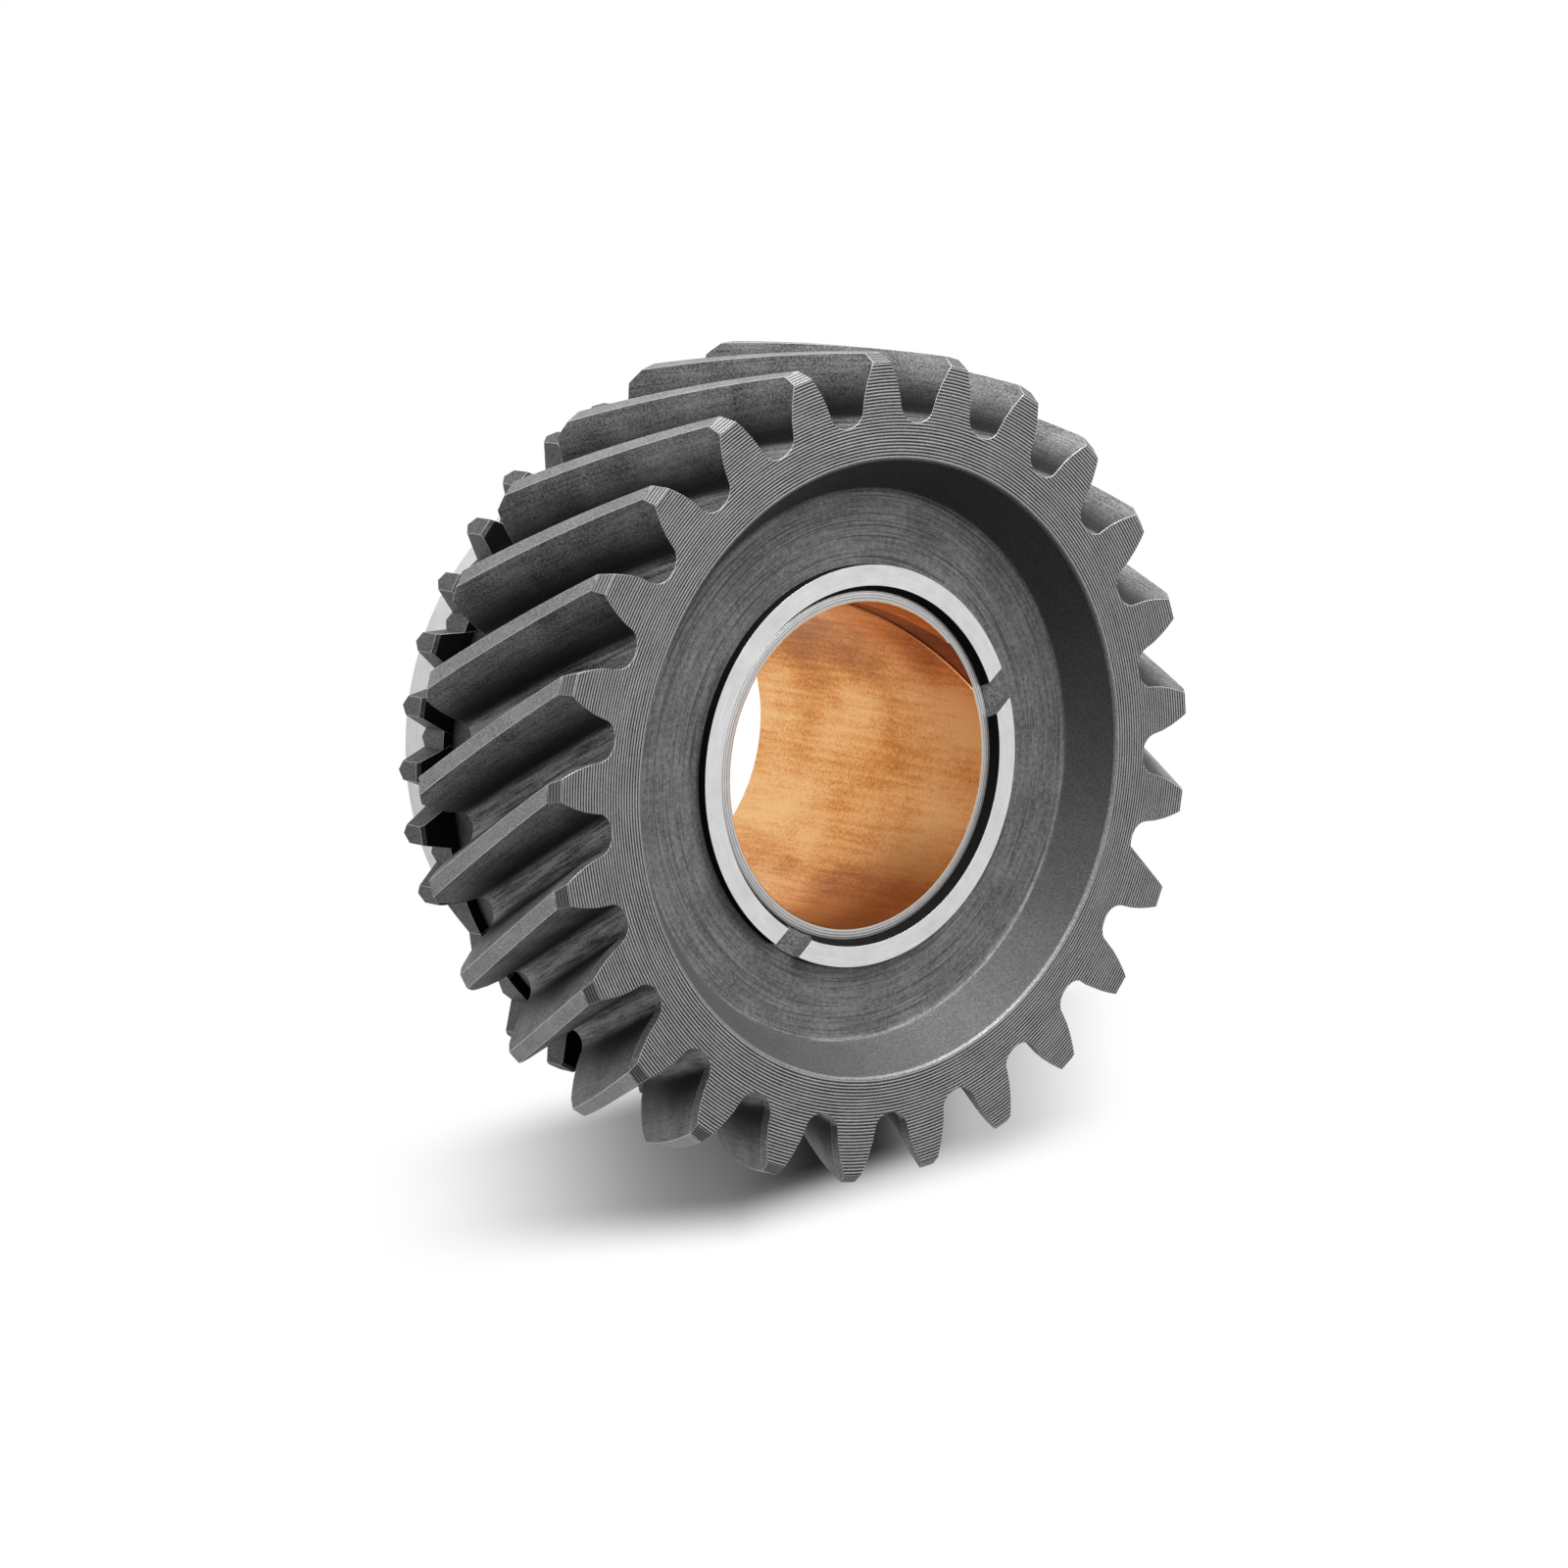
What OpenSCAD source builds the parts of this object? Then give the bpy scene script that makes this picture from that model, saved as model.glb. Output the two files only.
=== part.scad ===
// Helical transmission gear with clutch teeth, a friction cone and a bronze-lined bush.
// The bore axis is Z. The cone end stands on z = 0 and the recessed face looks up.

/* [Gear teeth] */
// Number of gear teeth
tooth_count = 25; // [25:1:27]
// Module measured square to the tooth, mm
normal_module = 3.5; // [3.48:0.01:3.6]
// Left-hand helix angle at the pitch circle, degrees
helix_angle = 28.8; // [28:0.1:30]
// Pressure angle measured square to the tooth, degrees
pressure_angle = 20; // [19:0.5:21]
// Width of the toothed body along the axis, mm
face_width = 29.1; // [27:0.1:32]
// Height of the tooth above the pitch circle, mm
addendum = 3.275; // [3:0.005:3.4]
// Depth of the tooth below the pitch circle, mm
dedendum = 5.575; // [5.4:0.005:5.6]
// Thickness of the tooth around the pitch circle, mm
tooth_thickness = 5.3; // [5.1:0.05:5.5]
// Tip chamfer at both ends, measured along the radius, mm
tip_chamfer = 1.2; // [0.8:0.1:1.3]

/* [Front face] */
// Diameter of the recess at its mouth, mm
recess_mouth_d = 79.2; // [78:0.2:80]
// Diameter of the recess at its floor, mm
recess_floor_d = 70.9; // [70:0.1:72]
// Depth of the recess, mm
recess_depth = 6; // [5.5:0.05:7]
// Outer diameter of the thrust ring, mm
ring_od = 51.7; // [51:0.1:53]
// Inner edge diameter of the thrust ring, mm
ring_id = 46.4; // [46:0.1:47]
// Height of the thrust ring above the recess floor, mm
ring_height = 1.37; // [1.2:0.01:1.6]
// Width of the two oil slots in the thrust ring, mm
slot_width = 4; // [3:0.1:4.4]
// Distance of the slots' centre line from the axis, mm
slot_offset = 9; // [8:0.1:10]
// Depth of the oil slots, mm
slot_depth = 1.25; // [0.8:0.05:1.3]

/* [Clutch end] */
// Number of clutch tooth places around the ring
dog_count = 36; // [34:1:38]
// Teeth left out at each of the three gaps in the ring
gap_teeth = 2; // [1:1:3]
// Diameter over the clutch teeth, mm
dog_tip_d = 95; // [94.6:0.1:95.4]
// Diameter at the foot of the clutch teeth, mm
dog_root_d = 87.4; // [87:0.1:88]
// Length of the clutch ring along the axis, mm
dog_width = 4.65; // [4.4:0.05:6]
// Diameter of the rough neck beside the clutch ring, mm
neck_d = 84.4; // [83:0.2:86]
// Length of the neck, mm
neck_length = 6.65; // [6:0.05:8]
// Diameter of the friction cone at its small end, mm
cone_d = 71.3; // [70:0.1:73]
// Angle of the friction cone to the axis, degrees
cone_angle = 6.5; // [6:0.1:7]
// Length of the friction cone, mm
cone_length = 14.8; // [13:0.1:16]
// Diameter of the hollow in the cone's end, mm
end_recess_d = 60; // [56:0.5:62]
// Depth of the hollow in the cone's end, mm
end_recess_depth = 2.9; // [2:0.1:3.5]

/* [Bush] */
// Bore of the bush, mm
bore_d = 42; // [41.5:0.1:42.1]
// Outer diameter of the bush and of its seat, mm
bush_od = 45; // [44.6:0.1:45.4]
// Thickness of the bronze lining, mm
lining_wall = 0.4; // [0.36:0.01:0.6]
// Set-back of the bush from the thrust ring's face, mm
bush_set_back = 1.11; // [1:0.01:1.6]
// Set-back of the bush from the hollow's floor, mm
bush_back_gap = 1.1; // [0.5:0.1:2]
// Width of the spiral oil groove, mm
groove_width = 5.1; // [4:0.1:6]
// Depth of the spiral oil groove, mm
groove_depth = 0.28; // [0.2:0.01:0.3]
// Angle of the oil groove to the axis, degrees
groove_angle = 48.2; // [40:0.1:50]

/* [Hidden] */
$fn = 96;

z_dog = cone_length;
z_neck = z_dog + dog_width;
z_back = z_neck + neck_length;
z_front = z_back + face_width;
z_floor = z_front - recess_depth;
z_ring = z_floor + ring_height;
z_bush_top = z_ring - bush_set_back;
z_bush_end = end_recess_depth + bush_back_gap;

pitch_r = tooth_count * normal_module / cos(helix_angle) / 2;
transverse_angle = atan(tan(pressure_angle) / cos(helix_angle));
base_r = pitch_r * cos(transverse_angle);
tip_r = pitch_r + addendum;
root_r = pitch_r - dedendum;
tip_bevel_axial = tip_chamfer + 0.2;
twist = tan(helix_angle) / pitch_r * 180 / PI;
tooth_pitch = 360 / tooth_count;
first_tooth = -0.09;
half_pitch_angle = tooth_thickness / 2 / pitch_r * 180 / PI;
fillet_r = base_r + 0.3;

neck_top_r = root_r - 0.15;
cone_top_r = cone_d / 2 + cone_length * tan(cone_angle);
seat_r = bush_od / 2;
lining_r = bore_d / 2 + lining_wall;
seat_bevel = (ring_id / 2 - seat_r) * 1.67;

dog_pitch = 360 / dog_count;
first_dog = 5.53;
run_teeth = 12;
gap_start = 8;
dog_tip_r = dog_tip_d / 2;
dog_root_r = dog_root_d / 2;
dog_bevel = 0.46;
dog_crest = dog_tip_r * sin(1.5 * 36 / dog_count);
dog_foot = dog_root_r * sin(3.4 * 36 / dog_count);
dog_ridge = 0.4;
dog_shoulder = 1.35;
dog_inset = 0.03;
roof_rise = (dog_shoulder - dog_ridge) / dog_crest;
roof_slope = 0.445;

groove_turn = tan(groove_angle) / (bore_d / 2) * 180 / PI;
groove_span = groove_width / cos(groove_angle) / (bore_d / 2) * 180 / PI;
groove_start = 18.4;
slot_angle = 36;

function involute(a) = tan(a) * 180 / PI - a;
function flank(r) = half_pitch_angle + involute(transverse_angle) - involute(acos(base_r / r));
function fillet_angle(a) = tooth_pitch / 2 - (tooth_pitch / 2 - flank(fillet_r)) * cos(a);
function fillet_radius(a) = fillet_r - (fillet_r - root_r) * sin(a);

// One side of a tooth space, from outside the tip down to the middle of the root.
function space_side() = concat(
    [for (r = [tip_r + 1.4, tip_r - 0.2, tip_r - 2.7, tip_r - 4.9, fillet_r]) [r, flank(r)]],
    [for (a = [30, 60]) [fillet_radius(a), fillet_angle(a)]]
);

function mirrored(side) = [for (i = [len(side) - 1 : -1 : 0]) [side[i][0], tooth_pitch - side[i][1]]];

function space_section() = concat(space_side(), [[root_r, tooth_pitch / 2]], mirrored(space_side()));

function polar(r, a, z) = [r * cos(a), r * sin(a), z];

// Side faces between rings of n points, with m rings, and flat faces at both ends.
function skin(n, m) = concat(
    [for (k = [0 : m - 2], i = [0 : n - 1]) [k * n + i, k * n + (i + 1) % n, (k + 1) * n + i]],
    [for (k = [0 : m - 2], i = [0 : n - 1])
        [k * n + (i + 1) % n, (k + 1) * n + (i + 1) % n, (k + 1) * n + i]],
    [[for (i = [n - 1 : -1 : 0]) i]],
    [[for (i = [0 : n - 1]) (m - 1) * n + i]]
);

function turned_back(faces) = [for (f = faces) [for (i = [len(f) - 1 : -1 : 0]) f[i]]];

// The space between two teeth, turned along the helix.
module tooth_space(steps = 8) {
    section = space_section();
    z0 = z_back - 3;
    z1 = z_front + 2;
    points = [for (k = [0 : steps], s = section)
        let (z = z0 + (z1 - z0) * k / steps)
        polar(s[0], s[1] + twist * (z_front - z), z)];
    polyhedron(points, skin(len(section), steps + 1), convexity = 6);
}

module body_profile() {
    rotate_extrude()
        polygon([
            [end_recess_d / 2, 0],
            [cone_d / 2, 0],
            [cone_top_r, z_dog],
            [dog_root_r, z_dog],
            [dog_root_r, z_neck],
            [neck_d / 2, z_neck],
            [neck_top_r, z_back],
            [tip_r - tip_chamfer, z_back],
            [tip_r, z_back + tip_bevel_axial],
            [tip_r, z_front - tip_bevel_axial],
            [tip_r - tip_chamfer, z_front],
            [recess_mouth_d / 2, z_front],
            [recess_floor_d / 2, z_floor],
            [ring_od / 2, z_floor],
            [ring_od / 2, z_ring],
            [ring_id / 2, z_ring],
            [seat_r, z_ring - seat_bevel],
            [seat_r, end_recess_depth],
            [end_recess_d / 2, end_recess_depth]
        ]);
}

// One clutch tooth: sloping flanks, a bevelled front edge and a roof-shaped end.
module dog_tooth() {
    x0 = dog_root_r - 0.5;
    x1 = dog_tip_r - dog_bevel;
    grow = (dog_foot - dog_crest) / (dog_tip_r - dog_root_r);
    y0 = dog_crest + grow * (dog_tip_r - x0);
    y1 = dog_crest + grow * dog_bevel;
    fall = roof_slope * (dog_tip_r - x0);
    apex_x = dog_tip_r - (dog_ridge - dog_inset) / roof_slope;
    flat_y = (fall - dog_ridge + dog_inset) / roof_rise;
    front_z = dog_width - dog_inset;
    foot_z = dog_ridge - fall + roof_rise * y0;
    points = [
        [x0, -y0, front_z],
        [x0, y0, front_z],
        [x1, y1, front_z],
        [x1, -y1, front_z],
        [dog_tip_r, dog_crest, dog_width - dog_bevel],
        [dog_tip_r, -dog_crest, dog_width - dog_bevel],
        [dog_tip_r, dog_crest, dog_shoulder],
        [dog_tip_r, -dog_crest, dog_shoulder],
        [dog_tip_r, 0, dog_ridge],
        [apex_x, 0, dog_inset],
        [x0, flat_y, dog_inset],
        [x0, -flat_y, dog_inset],
        [x0, y0, foot_z],
        [x0, -y0, foot_z]
    ];
    faces = [
        [0, 3, 2, 1],
        [3, 5, 4, 2],
        [5, 7, 8, 6, 4],
        [9, 11, 10],
        [8, 9, 10, 12, 6],
        [8, 7, 13, 11, 9],
        [1, 2, 4, 6, 12],
        [0, 13, 7, 5, 3],
        [0, 1, 12, 10, 11, 13]
    ];
    polyhedron(points, turned_back(faces), convexity = 2);
}

module oil_slots() {
    rotate([0, 0, slot_angle])
        translate([-ring_od / 2 - 2, -slot_offset - slot_width / 2, z_ring - slot_depth])
        cube([ring_od + 4, slot_width, slot_depth + 1]);
}

function is_tooth(k) = (k + run_teeth - gap_start) % run_teeth >= gap_teeth;

// The whole gear is one forging, machined all over but for the neck and the recess floor.
module gear() {
    color([0.30, 0.30, 0.31])
        union() {
            difference() {
                body_profile();
                for (k = [0 : tooth_count - 1])
                    rotate([0, 0, first_tooth + k * tooth_pitch])
                        tooth_space();
                oil_slots();
            }
            for (k = [0 : dog_count - 1])
                if (is_tooth(k))
                    rotate([0, 0, first_dog + k * dog_pitch])
                        translate([0, 0, z_dog])
                        dog_tooth();
        }
}

// Steel shell of the bush, pressed into the hub.
module bush_backing() {
    color([0.78, 0.77, 0.75])
        rotate_extrude()
        polygon([
            [lining_r, z_bush_end],
            [seat_r - 0.3, z_bush_end],
            [seat_r, z_bush_end + 0.6],
            [seat_r, z_bush_top - 0.15],
            [seat_r - 0.15, z_bush_top],
            [lining_r, z_bush_top]
        ]);
}

// A shallow band that turns along the bore from the front end of the lining.
module spiral_groove(steps = 22, across = 5) {
    z0 = z_bush_end - 1;
    z1 = z_bush_top + 1;
    r_out = bore_d / 2 + groove_depth;
    r_in = bore_d / 2 - 1.2;
    points = [for (k = [0 : steps])
        let (z = z0 + (z1 - z0) * k / steps)
        let (a = groove_start + groove_turn * (z_bush_top - z))
        each concat(
            [for (i = [0 : across]) polar(r_out, a + groove_span * i / across, z)],
            [for (i = [across : -1 : 0]) polar(r_in, a + groove_span * i / across, z)]
        )];
    polyhedron(points, turned_back(skin(2 * across + 2, steps + 1)), convexity = 6);
}

// Bronze running surface, bonded to the steel shell.
module bush_lining() {
    color([0.80, 0.50, 0.27])
        difference() {
            translate([0, 0, z_bush_end])
                difference() {
                    cylinder(r = lining_r, h = z_bush_top - z_bush_end);
                    translate([0, 0, -1])
                        cylinder(d = bore_d, h = z_bush_top - z_bush_end + 2);
                }
            spiral_groove();
        }
}

gear();
bush_backing();
bush_lining();
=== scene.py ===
import bmesh
import bpy
from math import acos, atan, atan2, cos, hypot, pi, radians, sin, tan
from mathutils import Matrix, Vector


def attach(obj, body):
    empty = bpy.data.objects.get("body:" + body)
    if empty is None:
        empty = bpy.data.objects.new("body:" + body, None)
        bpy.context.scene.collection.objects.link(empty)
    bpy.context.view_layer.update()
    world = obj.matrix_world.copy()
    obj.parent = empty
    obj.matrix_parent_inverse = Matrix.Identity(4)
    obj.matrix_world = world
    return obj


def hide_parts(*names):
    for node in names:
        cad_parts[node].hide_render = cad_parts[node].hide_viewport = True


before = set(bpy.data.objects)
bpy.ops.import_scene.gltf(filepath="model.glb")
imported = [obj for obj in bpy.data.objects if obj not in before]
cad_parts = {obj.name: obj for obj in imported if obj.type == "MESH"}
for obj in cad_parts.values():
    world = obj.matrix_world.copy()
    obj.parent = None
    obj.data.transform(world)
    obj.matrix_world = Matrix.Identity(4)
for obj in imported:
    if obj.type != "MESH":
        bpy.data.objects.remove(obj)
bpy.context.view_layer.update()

mm = 0.001


# camera: it stands where the photograph was taken from, with the same roll
view = {
    "place": (-478.10, 146.67, 628.99),  # mm
    "right": (0.7707, -0.0591, 0.6345),
    "up": (0.1682, 0.9792, -0.1131),
    "lens": 137.5,
    "sensor": 36.0,
    "clip": (0.01, 20),  # m
}


def addCamera(v):
    right = Vector(v["right"]).normalized()
    back = right.cross(Vector(v["up"])).normalized()
    up = back.cross(right)
    data = bpy.data.cameras.new("camera")
    data.sensor_width, data.lens = v["sensor"], v["lens"]
    data.clip_start, data.clip_end = v["clip"]
    camera = bpy.data.objects.new("camera", data)
    turn = Matrix((right, up, back)).transposed().to_4x4()
    camera.matrix_world = Matrix.Translation(Vector(v["place"]) * mm) @ turn
    bpy.context.collection.objects.link(camera)
    bpy.context.scene.camera = camera


addCamera(view)
print("camera placed")


# shader maths: a Wire is one output socket, and Python's operators add the Math nodes
class Wire:
    def __init__(self, shader, socket):
        self.shader, self.socket = shader, socket

    def maths(self, operation, *values, clamp=False):
        settings = {"operation": operation, "use_clamp": clamp}
        return self.shader.add("ShaderNodeMath", settings, dict(enumerate(values)))

    def __add__(self, other): return self.maths("ADD", self, other)
    def __radd__(self, other): return self.maths("ADD", other, self)
    def __sub__(self, other): return self.maths("SUBTRACT", self, other)
    def __rsub__(self, other): return self.maths("SUBTRACT", other, self)
    def __mul__(self, other): return self.maths("MULTIPLY", self, other)
    def __rmul__(self, other): return self.maths("MULTIPLY", other, self)
    def __truediv__(self, other): return self.maths("DIVIDE", self, other)
    def __pow__(self, other): return self.maths("POWER", self, other)

    def clamped(self): return self.maths("ADD", self, 0, clamp=True)
    def sine(self): return self.maths("SINE", self)
    def cosine(self): return self.maths("COSINE", self)
    def larger(self, other): return self.maths("MAXIMUM", self, other)

    def step(self, low, high, bottom=0.0, top=1.0):  # bottom below low, top above high, smooth between
        settings = {"interpolation_type": "SMOOTHSTEP"}
        values = {"Value": self, "From Min": low, "From Max": high, "To Min": bottom, "To Max": top}
        return self.shader.add("ShaderNodeMapRange", settings, values)

    def over(self, zone, bottom=0.0, top=1.0):  # the same step, between two places in mm
        return self.step(zone[0] * mm, zone[1] * mm, bottom, top)


class Shader:
    def __init__(self, block, space="Object"):
        self.block = block
        block.use_nodes = True
        self.tree = block.node_tree
        self.tree.nodes.clear()
        self.place = self.add("ShaderNodeTexCoord", {}, {}, space)
        axes = self.add("ShaderNodeSeparateXYZ", {}, {0: self.place}, None)
        self.x, self.y, self.z = (Wire(self, axes.outputs[i]) for i in range(3))

    def add(self, kind, settings, inputs, output=0):
        node = self.tree.nodes.new(kind)
        for key, value in settings.items():
            if key == "stops":
                for i, (where, colour) in enumerate(value):
                    stop = node.color_ramp.elements[i] if i < 2 else node.color_ramp.elements.new(where)
                    stop.position, stop.color = where, colour
            else:
                setattr(node, key, value)
        for key, value in inputs.items():
            if isinstance(value, Wire):
                self.tree.links.new(value.socket, node.inputs[key])
            else:
                node.inputs[key].default_value = value
        return node if output is None else Wire(self, node.outputs[output])

    def radius(self): return (self.x * self.x + self.y * self.y) ** 0.5

    def point(self, x, y, z): return self.add("ShaderNodeCombineXYZ", {}, {0: x, 1: y, 2: z})

    def noise(self, scale, detail=3.0, roughness=0.55, at=None):
        values = {"Vector": at or self.place, "Scale": scale, "Detail": detail, "Roughness": roughness}
        return self.add("ShaderNodeTexNoise", {}, values)

    def alongTooth(self, twist, stretch):  # the place turned back by the helix: what it feeds runs along the teeth
        turn = self.z * twist
        c, s = turn.cosine(), turn.sine()
        return self.point(self.x * c - self.y * s, self.x * s + self.y * c, self.z * stretch)

    def roundTheAxis(self, across, fine, along):  # fine across a turned surface and long round the axis
        r = self.radius()
        return self.point(across * fine, self.x / r * along, self.y / r * along)

    def blend(self, share, first, second):
        return self.add("ShaderNodeMix", {"data_type": "RGBA"}, {0: share, 6: first, 7: second}, 2)

    def ramp(self, value, stops):
        return self.add("ShaderNodeValToRGB", {"stops": stops}, {0: value})

    def bump(self, height, distance, strength=1.0):  # distance in mm
        return self.add("ShaderNodeBump", {}, {"Height": height, "Distance": distance * mm, "Strength": strength})

    def metal(self, colour, roughness, normal=None, metallic=0.8, shine=0.5):
        values = {"Base Color": colour, "Roughness": roughness, "Metallic": metallic, "Specular IOR Level": shine}
        if normal is not None:
            values["Normal"] = normal
        surface = self.add("ShaderNodeBsdfPrincipled", {}, values)
        self.add("ShaderNodeOutputMaterial", {}, {"Surface": surface}, None)
        return self.block


def newMaterial(name):
    return Shader(bpy.data.materials.new(name))


def grey(level, warmth=0.0):
    return (level * (1 + warmth), level, level * (1 - warmth), 1)


# finishes of the gear
helixTurn = 11.01  # how far the teeth turn, in radians per metre of width
# the second zone is where painted shade darkens the flanks down the tooth, towards the root
rootZone, flankShadeZone = (44.7, 45.9), (46.2, 52.4)  # where a tooth's tone changes, in mm from the axis
contrast = (0.32, 0.72)  # the noise levels of the darkest and the lightest grain


def grainy(s):  # the fine specks and the broad clouds of a rough skin
    return s.noise(3800, 4, 0.7), s.noise(170, 3)


def forgedSteel(name, dark, light, cloudy=0.2, rough=0.5):
    s = newMaterial(name)
    speck, cloud = grainy(s)
    tone = (1 - cloudy) * speck + cloudy * cloud
    colour = s.blend(tone.step(*contrast), grey(dark), grey(light, 0.008))
    return s.metal(colour, rough + 0.2 * (1 - speck), s.bump(speck, 0.016), 0.7)


def cutSteel(name, dark, light, rough=0.48):  # hobbed flanks: darker down the tooth, streaked in the roots
    s = newMaterial(name)
    speck, cloud = grainy(s)
    lines = s.noise(2600, 3, 0.65, s.alongTooth(helixTurn, 0.06))
    broad = s.noise(700, 2, 0.5, s.alongTooth(helixTurn, 0.10))
    root = s.radius().over(rootZone, 1.0, 0.0)
    tone = 0.56 * speck + 0.22 * cloud + 0.22 * lines + root * (0.5 * lines + 0.4 * broad - 0.42)
    # painted shade: the flanks darken down the tooth, where the neighbouring teeth shade them, but not in the root
    depth = s.radius().over(flankShadeZone, 0.05, 1.0).larger(0.8 * root)
    colour = s.blend(tone.step(*contrast) * depth, grey(dark * 0.3), grey(light, 0.008))
    return s.metal(colour, rough + 0.2 * (1 - speck), s.bump(0.7 * speck + 0.3 * lines, 0.02), 0.5, 0.25)


def turnedSteel(name, pitch, dark, light, rough=0.42):  # pitch is the feed of the tool, in mm
    s = newMaterial(name)
    distance = s.radius()
    sway = s.noise(90, 2)
    wave = (distance * (2 * pi / pitch / mm) + 1.6 * sway).sine()
    ridge = (0.5 + 0.5 * wave) ** 1.4
    speck = s.noise(3400, 3, 0.65)
    patch = s.noise(240, 3)
    worn = s.noise(1.0, 2, 0.6, s.roundTheAxis(distance, 2600, 9))
    tone = (0.80 * ridge + 0.45 * (speck - 0.45) + 0.3 * (worn - 0.5) + 0.14 * (patch - 0.5)).clamped()
    colour = s.blend(tone, grey(dark), grey(light))
    return s.metal(colour, rough + 0.1 * speck, s.bump(ridge, 0.035), 0.75)


def roughTurned(name, dark, light, rough=0.5):  # a turned floor with uneven tool marks under a grainy skin
    s = newMaterial(name)
    lines = s.noise(1.0, 1, 0.5, s.roundTheAxis(s.radius(), 3200, 1.1))
    fine = s.noise(1.0, 2, 0.7, s.roundTheAxis(s.radius(), 4600, 3))
    speck = s.noise(3600, 4, 0.7)
    cloud = s.noise(130, 3)
    mark = lines.step(0.60, 0.66) * 0.5
    pits = s.noise(1500, 3, 0.6)
    tone = 0.30 * fine + 0.30 * speck + 0.22 * pits + 0.18 * cloud
    colour = s.blend((tone.step(0.38, 0.64) - mark * 0.8).clamped(), grey(dark), grey(light))
    return s.metal(colour, rough + 0.15 * speck, s.bump(0.5 * speck - mark, 0.03), 0.65)


def groundSteel(name, level, across="radius", rough=0.3):
    s = newMaterial(name)
    distance = s.radius() if across == "radius" else s.z
    arc = s.noise(1.0, 3, 0.6, s.roundTheAxis(distance, 9000, 5))
    haze = s.noise(420, 3)
    colour = s.blend((0.6 * arc + 0.4 * haze).step(0.3, 0.7), grey(level * 0.84), grey(level * 1.04))
    return s.metal(colour, rough + 0.2 * arc, s.bump(arc, 0.005), 0.8)


# painted shadow: a near-black finish for faces that lie in shade, such as the narrow gap at the bush, the thrust
# ring's sides and the front of the clutch teeth
def paintedShadowBlack(name):
    s = newMaterial(name)
    return s.metal(s.blend(s.noise(800), grey(0.003), grey(0.008)), 0.9, None, 0.0, 0.08)


finishes = {
    "flank": cutSteel("flankSteel", 0.05, 0.35),
    "land": forgedSteel("landSteel", 0.14, 0.39),
    "face": turnedSteel("faceSteel", 0.42, 0.012, 0.50),
    "chamfer": turnedSteel("chamferSteel", 0.25, 0.07, 0.28),
    "acute": forgedSteel("acuteSteel", 0.05, 0.32, 0.1, 0.45),
    "wall": forgedSteel("wallSteel", 0.06, 0.125, 0.12),
    "floor": roughTurned("floorSteel", 0.065, 0.23),
    "ring": groundSteel("ringSteel", 0.80),
    # the near-black finish below is painted shadow
    "shadowBlack": paintedShadowBlack("gapShadow"),
    "neck": forgedSteel("neckSteel", 0.02, 0.12, 0.2, 0.6),
    "dog": forgedSteel("dogSteel", 0.05, 0.20),
    "cone": groundSteel("coneSteel", 0.70, "height"),
    "mouth": forgedSteel("mouthSteel", 0.12, 0.30, 0.1, 0.45),
    "slot": forgedSteel("slotSteel", 0.05, 0.28, 0.2, 0.6),
    # broken edges: lighter than the faces, partly the bright fresh metal of the break and partly a painted
    # highlight along each edge
    "edge": forgedSteel("edgeSteel", 0.38, 0.66, 0.1, 0.4),
}
slots = list(finishes)
print("gear finishes made")


# geometry helpers, all lengths in mm until the mesh is written
fineWeld, weld = 0.0005, 0.002  # points closer together than this become one
sameHeight = 0.01


def spot(radius, angle, z):
    return Vector((radius * cos(angle), radius * sin(angle), z))


def involute(a):
    return tan(a) - a


def chain(bm, points, closed=False):
    verts = [bm.verts.new(p) for p in points]
    ends = zip(verts, verts[1:] + verts[:1] if closed else verts[1:])
    return [bm.edges.new(pair) for pair in ends]


def drawOn(bm, edges, finish, move):  # extrudes a chain of edges and moves its new points
    made = bmesh.ops.extrude_edge_only(bm, edges=edges)["geom"]
    verts = {v for v in made if isinstance(v, bmesh.types.BMVert)}
    for v in verts:
        v.co = move(v.co)
    for f in made:
        if isinstance(f, bmesh.types.BMFace):
            f.material_index = slots.index(finish)
    return [e for e in made if isinstance(e, bmesh.types.BMEdge) and verts.issuperset(e.verts)]


def toRing(radius, z, turn=0.0):
    return lambda co: spot(radius, atan2(co.y, co.x) + turn, z)


def cutFlat(bm, geom, place, outward, finish):  # cuts a corner off and closes the cut
    cut = bmesh.ops.bisect_plane(bm, geom=geom, dist=1e-6, plane_co=place, plane_no=outward, clear_outer=True)
    edges = [e for e in cut["geom_cut"] if isinstance(e, bmesh.types.BMEdge)]
    for f in bmesh.ops.holes_fill(bm, edges=edges, sides=0)["faces"]:
        f.material_index = slots.index(finish)


def everything(bm):
    return bm.verts[:] + bm.edges[:] + bm.faces[:]


def addInto(target, bm):  # adds a finished shell to the piece
    bmesh.ops.recalc_face_normals(bm, faces=bm.faces)
    part = bpy.data.meshes.new("part")
    bm.to_mesh(part)
    bm.free()
    target.from_mesh(part)
    bpy.data.meshes.remove(part)


def finishPiece(bm, name, materials, sharpAngle=32):
    bmesh.ops.scale(bm, vec=(mm, mm, mm), verts=bm.verts)
    for f in bm.faces:
        f.smooth = True
    for e in bm.edges:
        if e.is_manifold and e.calc_face_angle(0) > radians(sharpAngle):
            e.smooth = False
    mesh = bpy.data.meshes.new(name)
    bm.to_mesh(mesh)
    bm.free()
    for m in materials:
        mesh.materials.append(m)
    piece = bpy.data.objects.new(name, mesh)
    bpy.context.collection.objects.link(piece)
    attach(piece, "root")
    return piece


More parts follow.
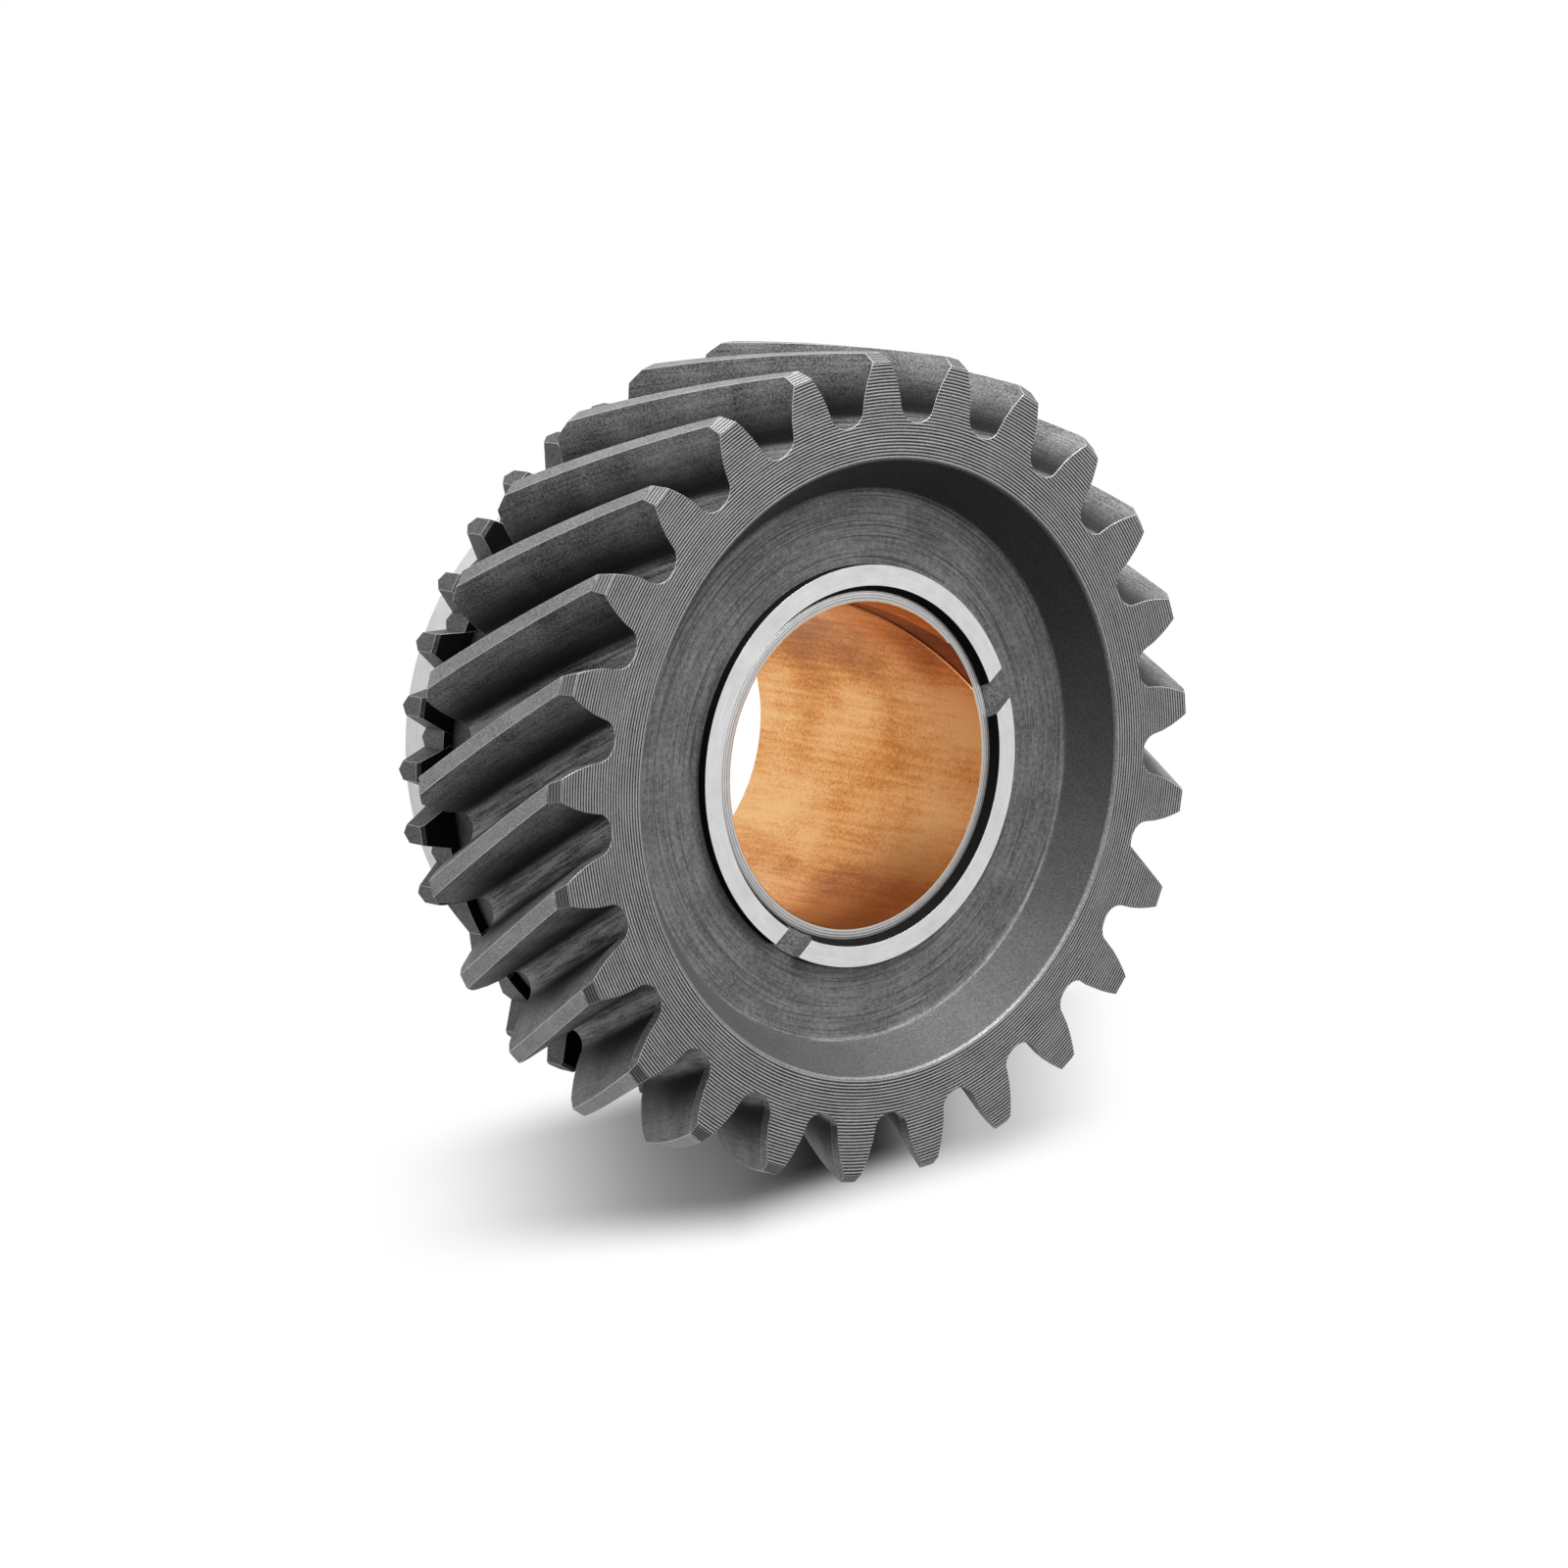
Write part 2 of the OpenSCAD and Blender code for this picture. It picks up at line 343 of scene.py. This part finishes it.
# the gear: one tooth is drawn and cut, then repeated, and the rest is drawn on from its inner edge
gearShape = {
    "teeth": 25, "normalModule": 3.5, "helix": radians(28.8), "pressure": radians(20),
    "addendum": 3.275, "dedendum": 5.575, "thickness": 5.3,
    "frontZ": 55.2, "backZ": 26.1, "firstTooth": radians(-0.09), "layers": 18,
    "flankDepths": (0, 0.8, 2, 3.5, 5.2), "aboveBase": 0.3, "rootTurns": (18, 36, 54, 72, 90), "landShare": 0.34,
    "tipCut": 1.2, "tipCutLength": 1.4, "rearCutExtra": 0.1, "cutTurn": 0.004, "tipBand": 0.02,
    "acuteCut": 0.6, "acuteDepth": 1.5, "acuteReach": 5, "acuteSide": -0.008, "edgeWidth": 0.26,
    "faceInner": 39.8, "seatEnd": (22.51, 3.0), "seatSteps": 8, "neckTop": 44.2, "neckSteps": 6,
    # finish, radius and height of each ring, and the number of even steps to it where there are several
    "recess": [
        ("mouth", 39.62, 55.12), ("mouth", 39.4, 54.8), ("wall", 35.8, 49.68, 5), ("wall", 35.62, 49.45),
        ("floor", 35.38, 49.28), ("floor", 35.05, 49.21), ("floor", 34.6, 49.2), ("floor", 25.85, 49.2, 8),
        ("floor", 25.8, 49.32), ("slot", 24.2, 49.32), ("slot", 22.62, 49.32), ("shadowBlack", 22.51, 49.2),
    ],
    "rear": [
        ("flank", 22.7, 2.9), ("ring", 26, 2.9), ("ring", 29.8, 2.9), ("wall", 30, 2.7), ("wall", 30, 0.3),
        ("wall", 30.3, 0), ("ring", 33, 0), ("ring", 35.35, 0), ("cone", 35.68, 0.3), ("cone", 35.86075, 1.85),
        ("cone", 37.336, 14.8, 7), ("dog", 39, 14.8), ("dog", 40.5, 15.2), ("dog", 40.5, 19), ("shadowBlack", 41, 19.4),
        ("shadowBlack", 42.2, 19.44), ("neck", 42.3, 19.7),
    ],
}


def toothOutline(g):  # radius and angle of each point, the tip's radius, and the turn for each mm of width
    pitchRadius = g["teeth"] * g["normalModule"] / cos(g["helix"]) / 2
    slant = atan(tan(g["pressure"]) / cos(g["helix"]))
    base = pitchRadius * cos(slant)
    tip, root = pitchRadius + g["addendum"], pitchRadius - g["dedendum"]
    half = g["thickness"] / 2 / pitchRadius + involute(slant)
    middle = pi / g["teeth"]
    radii = [tip - depth for depth in g["flankDepths"]] + [base + g["aboveBase"]]
    side = [(r, half - involute(acos(base / r))) for r in radii]
    start = side[-1]
    for a in (radians(x) for x in g["rootTurns"]):
        side.append((start[0] - (start[0] - root) * sin(a), middle - (middle - start[1]) * cos(a)))
    land = [(tip, side[0][1] * x) for x in (g["landShare"], -g["landShare"])]
    return side[::-1] + land + [(r, -a) for r, a in side], tip, tan(g["helix"]) / pitchRadius


def pulledIn(points, width, reach):  # moves the trailing side of the outline into the face, up to the root
    moved = []
    for i, p in enumerate(points):
        share = min(1.0, (len(points) - 1 - i) / reach) if i >= len(points) // 2 else 0.0
        along = points[min(i + 1, len(points) - 1)] - points[i - 1] if i else Vector((1, 0, 0))
        moved.append(p + Vector((along.y, -along.x, 0)).normalized() * width * share)
    return moved


def drawTeeth(g):
    bm = bmesh.new()
    outline, tip, twist = toothOutline(g)
    front, back = g["frontZ"], g["backZ"]
    rim = [spot(r, a, front) for r, a in outline]
    face = chain(bm, pulledIn(rim, g["acuteCut"], g["acuteReach"]))
    top = front - g["acuteDepth"]
    edges = chain(bm, [spot(r, a + twist * g["acuteDepth"], top) for r, a in outline])
    for f in bmesh.ops.bridge_loops(bm, edges=face + edges)["faces"]:
        middle = f.calc_center_median()
        f.material_index = slots.index("acute" if atan2(middle.y, middle.x) < g["acuteSide"] else "flank")
    step = (top - back) / g["layers"]
    for i in range(g["layers"]):
        turn = Matrix.Rotation(twist * step, 3, "Z")
        edges = drawOn(bm, edges, "flank", lambda co: turn @ co - Vector((0, 0, step)))
    drawOn(bm, face, "face", toRing(g["faceInner"], front))
    drawOn(bm, edges, "flank", toRing(g["neckTop"], back))
    for f in bm.faces:
        if f.material_index == slots.index("flank") and hypot(*f.calc_center_median().xy) > tip - g["tipBand"]:
            f.material_index = slots.index("land")
    swing = twist * (front - back)
    outward = spot(g["tipCutLength"], g["cutTurn"], g["tipCut"])
    cutFlat(bm, everything(bm), spot(tip - g["tipCut"], g["cutTurn"], front), outward, "chamfer")
    rearCut = g["tipCut"] + g["rearCutExtra"]
    outward = spot(g["tipCutLength"], swing, -rearCut)
    cutFlat(bm, everything(bm), spot(tip - rearCut, swing, back), outward, "land")
    share = 2 * pi / g["teeth"]
    bmesh.ops.rotate(bm, verts=bm.verts, matrix=Matrix.Rotation(g["firstTooth"], 3, "Z"))
    bmesh.ops.spin(bm, geom=everything(bm), axis=(0, 0, 1), angle=share * (g["teeth"] - 1), steps=g["teeth"] - 1,
                   use_duplicate=True)
    bmesh.ops.remove_doubles(bm, verts=bm.verts, dist=fineWeld)
    return bm, swing


def evenly(first, last, count=1):  # the places that part a line into equal steps, without its first
    return [[a + (b - a) * i / count for a, b in zip(first, last)] for i in range(1, count + 1)]


def openEdgesAt(bm, z):
    return [e for e in bm.edges if e.is_boundary and all(abs(v.co.z - z) < sameHeight for v in e.verts)]


def drawRings(bm, edges, outline):
    here = outline[0][1:3]
    for finish, radius, z, *count in outline:
        for place in evenly(here, (radius, z), *count):
            edges = drawOn(bm, edges, finish, toRing(*place))
        here = radius, z
    return edges


def drawHub(bm, g, swing):  # from the mouth of the recess down the bore, and round the cone to the neck
    edges = drawRings(bm, openEdgesAt(bm, g["frontZ"]), g["recess"])
    for place in evenly(g["recess"][-1][1:], g["seatEnd"], g["seatSteps"]):
        edges = drawOn(bm, edges, "flank", toRing(*place, swing / g["seatSteps"]))
    edges = drawRings(bm, edges, g["rear"])
    for place in evenly(g["rear"][-1][1:], (g["neckTop"], g["backZ"]), g["neckSteps"])[:-1]:
        edges = drawOn(bm, edges, "neck", toRing(*place))
    rear = openEdgesAt(bm, g["backZ"])
    for f in bmesh.ops.bridge_loops(bm, edges=edges + rear)["faces"]:
        f.material_index = slots.index("neck")
    bmesh.ops.remove_doubles(bm, verts=bm.verts, dist=weld)


# thrust ring: a turned ring, cut into two arcs by a straight oil channel
thrustRing = {
    "section": [(23.2, 50.57), (25.85, 50.57), (25.85, 48.8), (22.54, 48.8), (22.54, 49.45)],
    "slotAngle": radians(-54), "slotNear": 7.0, "slotFar": 11.0, "steps": 240, "brightAbove": 50.5,
}


def drawArc(t, sign, distance):
    bm = bmesh.new()
    chain(bm, [Vector((r, 0, z)) for r, z in t["section"]], True)
    bmesh.ops.spin(bm, geom=everything(bm), axis=(0, 0, 1), angle=2 * pi, steps=t["steps"], use_merge=True)
    # the ring's top is bright; its other faces get the near-black painted shadow
    for f in bm.faces:
        middle = f.calc_center_median()
        f.material_index = slots.index("ring" if middle.z > t["brightAbove"] else "shadowBlack")
    across = spot(1, t["slotAngle"], 0)
    cutFlat(bm, everything(bm), across * distance, across * sign, "slot")
    return bm


# clutch teeth: one is drawn as a wedge, its end is cut to a roof, and it is repeated in three runs of ten
dogShape = {
    "places": 36, "pitch": radians(10), "first": radians(105.53), "run": 10, "runs": 3,
    "foot": 38.5, "tip": 47.5, "footWidth": 8.874, "tipWidth": 2.487,
    "front": 19.45, "back": 14.8, "frontCut": 0.46, "ridge": (47.5, 0.0, 15.2), "roof": (0.445, 0.764),
    "land": 43.7, "landRoof": (0.5, 0.586), "landArc": (-1, -0.6, -0.3, 0, 0.3, 0.6, 1), "landInset": 0.01,
}


def drawWedge(corners, front, back):
    bm = bmesh.new()
    cap = bm.faces.new([bm.verts.new((x, y, front)) for x, y in corners])
    block = bmesh.ops.extrude_face_region(bm, geom=[cap], use_keep_orig=True)["geom"]
    bmesh.ops.translate(bm, verts=[v for v in block if isinstance(v, bmesh.types.BMVert)], vec=(0, 0, back - front))
    for f in bm.faces:
        f.material_index = slots.index("dog")
    # the front cap gets the near-black painted shadow
    cap.material_index = slots.index("shadowBlack")
    return bm


def repeatRound(bm, first, count, pitch):
    bmesh.ops.rotate(bm, verts=bm.verts, matrix=Matrix.Rotation(first, 3, "Z"))
    bmesh.ops.spin(bm, geom=everything(bm), axis=(0, 0, 1), angle=pitch * (count - 1), steps=count - 1,
                   use_duplicate=True)
    return bm


def drawClutchTeeth(d):
    wide, thin = d["footWidth"] / 2, d["tipWidth"] / 2
    foot, tip = d["foot"], d["tip"]
    bm = drawWedge([(foot, -wide), (tip, -thin), (tip, thin), (foot, wide)], d["front"], d["back"])
    slope, side = d["roof"]
    for sign in (1, -1):
        cutFlat(bm, everything(bm), Vector(d["ridge"]), Vector((slope, side * sign, -1)), "dog")
    cutFlat(bm, everything(bm), Vector((tip, 0, d["front"] - d["frontCut"])), Vector((1, 0, 1)), "neck")
    return repeatRound(repeatRound(bm, d["first"], d["run"], d["pitch"]), 0.0, d["runs"], 2 * pi / d["runs"])


def drawClutchLands(d):  # the ring that the teeth stand on: its rear edge dips at each place for a tooth
    half = d["pitch"] / 2
    corners = [spot(d["foot"], a, 0).xy for a in (half, -half)]
    corners += [spot(d["land"], half * x, 0).xy for x in d["landArc"]]
    bm = drawWedge(corners, d["front"] - d["landInset"], d["back"] + d["landInset"])
    slope, side = d["landRoof"]
    for sign in (1, -1):
        cutFlat(bm, everything(bm), Vector((d["land"], 0, d["back"])), Vector((slope, side * sign, -1)), "dog")
    return repeatRound(bm, d["first"] + half, d["places"], d["pitch"])


# how wide each edge is broken, as a share of edgeWidth
broken = {"sharpAngle": radians(18), "tips": 1.0, "sides": 0.6, "ring": 0.35}


def markEdges(bm, shares):
    weight = bm.edges.layers.float.new("bevel_weight_edge")
    number = {name: i for i, name in enumerate(slots)}
    sides = {number[name] for name in ("face", "chamfer", "acute", "flank", "dog")}
    for e in bm.edges:
        pair = {f.material_index for f in e.link_faces}
        if len(e.link_faces) != 2 or e.calc_face_angle(0) < shares["sharpAngle"] or number["mouth"] in pair:
            continue
        if number["land"] in pair and number["flank"] in pair:
            e[weight] = shares["tips"]
        elif pair & sides:
            e[weight] = shares["sides"]
        elif number["ring"] in pair:
            e[weight] = shares["ring"]


bodyMesh = bmesh.new()
teeth, swing = drawTeeth(gearShape)
drawHub(teeth, gearShape, swing)
print("gear body drawn, open edges:", sum(e.is_boundary for e in teeth.edges), "faces:", len(teeth.faces))
addInto(bodyMesh, teeth)
addInto(bodyMesh, drawClutchTeeth(dogShape))
addInto(bodyMesh, drawClutchLands(dogShape))
addInto(bodyMesh, drawArc(thrustRing, -1, thrustRing["slotFar"]))
addInto(bodyMesh, drawArc(thrustRing, 1, thrustRing["slotNear"]))
markEdges(bodyMesh, broken)
gear = finishPiece(bodyMesh, "gearBody", list(finishes.values()))
breakEdges = gear.modifiers.new("breakEdges", "BEVEL")
breakEdges.width, breakEdges.segments, breakEdges.limit_method = gearShape["edgeWidth"] * mm, 2, "WEIGHT"
breakEdges.material = slots.index("edge")
evenLight = gear.modifiers.new("evenLight", "WEIGHTED_NORMAL")
evenLight.keep_sharp = True
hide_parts("gear")
print("gear finished")


# the bush: a steel shell with a bronze lining, both turned
bushShape = {
    "shell": [(21.4, 4.0), (22.2, 4.0), (22.5, 4.6), (22.5, 49.25), (22.44, 49.4), (22.3, 49.46), (21.4, 49.46)],
    "steps": 256, "bore": 21.0, "lining": 21.4, "bottom": 4.0, "top": 49.46, "layers": 48, "plainSteps": 226,
    "grooveStart": radians(18.4), "grooveSpan": radians(21), "grooveDepth": 0.28, "grooveEdge": 0.2,
    "grooveBand": (0.1, 0.3), "grooveTurn": radians(3.05),  # the turn is for each mm of depth
    "feed": 0.36, "shellSharp": 50, "liningSharp": 20,
}
# where painted shade darkens the bronze, and where its turned end begins
boreZones = {"low": (-20, -5), "right": (4, 20), "near": (25, 44), "wall": (21.10, 21.16), "end": (49.40, 49.44)}
paintedBoreShade = (0.34, 0.25, 0.14, 1)


bronzes = [  # the running surface, the groove and the groove's edges
    {"name": "liningBronze", "rough": 0.26, "grain": 0.2,
     "stops": [(0, (0.38, 0.12, 0.022, 1)), (0.5, (0.76, 0.32, 0.08, 1)), (1, (0.98, 0.59, 0.26, 1))]},
    {"name": "grooveBronze", "rough": 0.4, "grain": 0.05,
     "stops": [(0, (0.20, 0.05, 0.012, 1)), (0.5, (0.34, 0.10, 0.026, 1)), (1, (0.46, 0.16, 0.05, 1))]},
    {"name": "rimBronze", "rough": 0.3, "grain": 0.05,
     "stops": [(0, (0.7, 0.3, 0.1, 1)), (1, (0.95, 0.55, 0.25, 1))]},
]


def bronze(name, stops, rough, grain):  # darker low in the bore and at its right, near the recessed face
    s = newMaterial(name)
    curl = s.noise(2300, 5, 0.75)
    cloud = s.noise(52, 3, 0.55)
    band = s.noise(85, 2, 0.5, s.point(s.x, s.y, s.z * 0.16))
    drag = s.noise(1300, 3, 0.6, s.point(s.x, s.y, s.z * 0.08))
    tone = (0.34 * cloud + 0.24 * band + 0.28 * curl + 0.14 * drag).step(0.39, 0.61)
    # painted shade: the bronze is darker low in the bore and at its right, near the recessed face
    low, right = s.y.over(boreZones["low"], 1.0, 0.0), s.x.over(boreZones["right"], 0.0, 0.25)
    paintedShade = low.larger(right) * s.z.over(boreZones["near"])
    settings = {"data_type": "RGBA", "blend_type": "MULTIPLY"}
    bore = s.add("ShaderNodeMix", settings, {0: paintedShade, 6: s.ramp(tone, stops), 7: paintedBoreShade}, 2)
    end = s.radius().over(boreZones["wall"]) * s.z.over(boreZones["end"])
    colour = s.blend(end, bore, grey(0.62, 0.02))
    return s.metal(colour, rough + grain * curl, s.bump(curl, 0.06 * grain), 0.85)


def turnedBush(name, pitch):
    s = newMaterial(name)
    wave = 0.5 + 0.5 * (s.radius() * (2 * pi / pitch / mm)).sine()
    haze = s.noise(900, 3)
    colour = s.blend((0.7 * wave + 0.4 * haze - 0.1).clamped(), grey(0.30, 0.02), grey(0.85, 0.02))
    return s.metal(colour, 0.32, s.bump(wave, 0.012), 0.85)


def addShell(b):
    bm = bmesh.new()
    chain(bm, [Vector((r, 0, z)) for r, z in b["shell"]], True)
    bmesh.ops.spin(bm, geom=everything(bm), axis=(0, 0, 1), angle=2 * pi, steps=b["steps"], use_merge=True)
    bmesh.ops.recalc_face_normals(bm, faces=bm.faces)
    shell = finishPiece(bm, "bushShell", [turnedBush("bushSteel", b["feed"])], b["shellSharp"])
    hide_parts("bush_backing")


def addLining(b):
    bm = bmesh.new()
    start, span, low = b["grooveStart"], b["grooveSpan"], b["bore"] + b["grooveDepth"]
    edge = b["bore"] + b["grooveEdge"]
    ring = [(b["bore"], 0), (edge, 0.018)] + [(low, x) for x in (0.05, 0.2, 0.35, 0.5, 0.65, 0.8, 0.95)]
    ring += [(edge, 0.982), (b["bore"], 1)]
    points = [spot(r, start + span * x, b["top"]) for r, x in ring]
    rest = (2 * pi - span) / b["plainSteps"]
    points += [spot(b["bore"], start + span + rest * i, b["top"]) for i in range(1, b["plainSteps"])]
    top = inner = chain(bm, points, True)
    outer = drawOn(bm, top, "flank", toRing(b["lining"], b["top"]))
    step = (b["top"] - b["bottom"]) / b["layers"]
    turn = Matrix.Rotation(b["grooveTurn"] * step, 3, "Z")
    for i in range(b["layers"]):
        inner = drawOn(bm, inner, "flank", lambda co: turn @ co - Vector((0, 0, step)))
        outer = drawOn(bm, outer, "flank", lambda co: turn @ co - Vector((0, 0, step)))
    drawOn(bm, inner, "flank", toRing(b["lining"], b["bottom"]))
    bmesh.ops.remove_doubles(bm, verts=bm.verts, dist=weld)
    least, most = b["grooveBand"]
    for f in bm.faces:
        depth = [hypot(*v.co.xy) - b["bore"] for v in f.verts]
        if least < max(depth) < most:
            f.material_index = 2 if min(depth) < least else 1
    print("lining drawn, open edges:", sum(e.is_boundary for e in bm.edges))
    bmesh.ops.recalc_face_normals(bm, faces=bm.faces)
    lining = finishPiece(bm, "bushLining", [bronze(**tone) for tone in bronzes], b["liningSharp"])
    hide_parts("bush_lining")


addShell(bushShape)
addLining(bushShape)
print("bush finished")


# the studio: pale paper that keeps the shadow, deepened by painted shade and a painted contact shadow, a soft sky
# and a large lamp over the top teeth
studio = {
    "floorSize": 4, "paper": 0.4, "bounce": 0.9, "paintedContactGrey": 0.025, "mirrored": 0.9,
    # where on the paper the shadow and the painted dark contact shadow fade in, and out again, in mm
    "boreLift": (24, 29), "lean": 0.15, "leanFrom": 15,
    "shadowX": (-48, 14, 58, 90), "shadowNear": (-76.5, -68.5), "shadowFar": (-54, -47),
    "paintedContactX": (8, 30, 38, 60), "paintedContactNear": (-72.5, -67), "paintedContactFar": (-60, -34),
    "beneath": (62, 92), "beneathX": (-2, 12), "hiddenX": (-30, -6), "behindY": (-20, 24),
    "skyLow": 0.048, "skyHigh": 1.2, "skyUp": (0.20, 0.80, 0.56), "skyBand": (-0.25, 1.0), "aim": (0, 0, 0.03),
    "lamps": [
        {"name": "key", "place": (0.26, 0.86, 0.58), "size": 0.6, "power": 14.0},
        {"name": "front", "place": (-0.10, 0.35, 1.00), "size": 0.6, "power": 1.6},
    ],
}


def addFloor(st):
    bm = bmesh.new()
    bmesh.ops.create_grid(bm, x_segments=1, y_segments=1, size=st["floorSize"])
    mesh = bpy.data.meshes.new("studioFloor")
    bm.to_mesh(mesh)
    bm.free()
    floor = bpy.data.objects.new("studioFloor", mesh)
    bpy.context.collection.objects.link(floor)
    s = newMaterial("floorPaper")
    white = s.add("ShaderNodeEmission", {}, {"Color": (1, 1, 1, 1), "Strength": 1.0})
    rays = s.add("ShaderNodeLightPath", {}, {}, None)
    camera, glossy = Wire(s, rays.outputs["Is Camera Ray"]), Wire(s, rays.outputs["Is Glossy Ray"])

    def within(axis, edges):
        return axis.over(edges[:2]) * axis.over(edges[2:], 1.0, 0.0) if len(edges) > 2 else axis.over(edges)

    side = camera * within(s.x, st["beneathX"]) + (1 - camera) * within(s.x, st["hiddenX"])
    beneath = side * s.radius().over(st["beneath"], 1.0, 0.0) * (1 - within(s.y, st["behindY"]))
    leaning = s.y - (st["leanFrom"] * mm - s.x).larger(0) * st["lean"]  # the shadow's near edge slants on its left
    tail = within(s.x, st["shadowX"]) * (1 - within(s.y, st["shadowFar"]))
    shadow = within(leaning, st["shadowNear"]) * tail.larger(beneath)
    # painted contact shadow: a near-black patch on the paper beside the lowest teeth, for every ray
    paintedContactShadow = within(s.x, st["paintedContactX"]) * within(leaning, st["paintedContactNear"]) * (1 - within(s.y, st["paintedContactFar"]))
    # the camera sees the paper darker than the light it throws back, and only inside the shadow's window: painted
    # shade that deepens the real shadow there
    clear = s.blend(camera, grey(st["bounce"]), grey(st["paper"]))
    matte = s.add("ShaderNodeBsdfDiffuse", {}, {"Color": s.blend(paintedContactShadow, clear, grey(st["paintedContactGrey"]))})
    # under the bore the paper shows white to camera and glossy rays even in shade: the backdrop seen through the
    # bore, and a painted white glow mirrored in the bronze
    bore = s.radius().over(st["boreLift"], 1.0, 0.0)
    share = (camera + st["mirrored"] * glossy) * (1 - shadow)
    share = share.larger(bore * camera.larger(glossy))
    surface = s.add("ShaderNodeMixShader", {}, {0: share, 1: matte, 2: white})
    s.add("ShaderNodeOutputMaterial", {}, {"Surface": surface}, None)
    mesh.materials.append(s.block)


def addSky(st):
    s = Shader(bpy.data.worlds.new("softSky"), "Generated")
    bpy.context.scene.world = s.block
    up = Vector(st["skyUp"]).normalized()
    glow = (s.x * up.x + s.y * up.y + s.z * up.z).step(*st["skyBand"], st["skyLow"], st["skyHigh"])
    rays = s.add("ShaderNodeLightPath", {}, {}, None)
    seen = Wire(s, rays.outputs["Is Camera Ray"])
    sky = s.add("ShaderNodeBackground", {}, {"Color": (1, 1, 1, 1), "Strength": seen + (1 - seen) * glow})
    s.add("ShaderNodeOutputWorld", {}, {"Surface": sky}, None)


def addLamp(aim, name, place, size, power):
    data = bpy.data.lights.new(name, "AREA")
    data.shape, data.size, data.energy = "DISK", size, power
    lamp = bpy.data.objects.new(name, data)
    lamp.location = place
    lamp.rotation_euler = (Vector(aim) - Vector(place)).to_track_quat("-Z", "Y").to_euler()
    bpy.context.collection.objects.link(lamp)


addFloor(studio)
addSky(studio)
for lamp in studio["lamps"]:
    addLamp(studio["aim"], **lamp)
bpy.context.scene.view_settings.view_transform = "Standard"
print("studio lit")
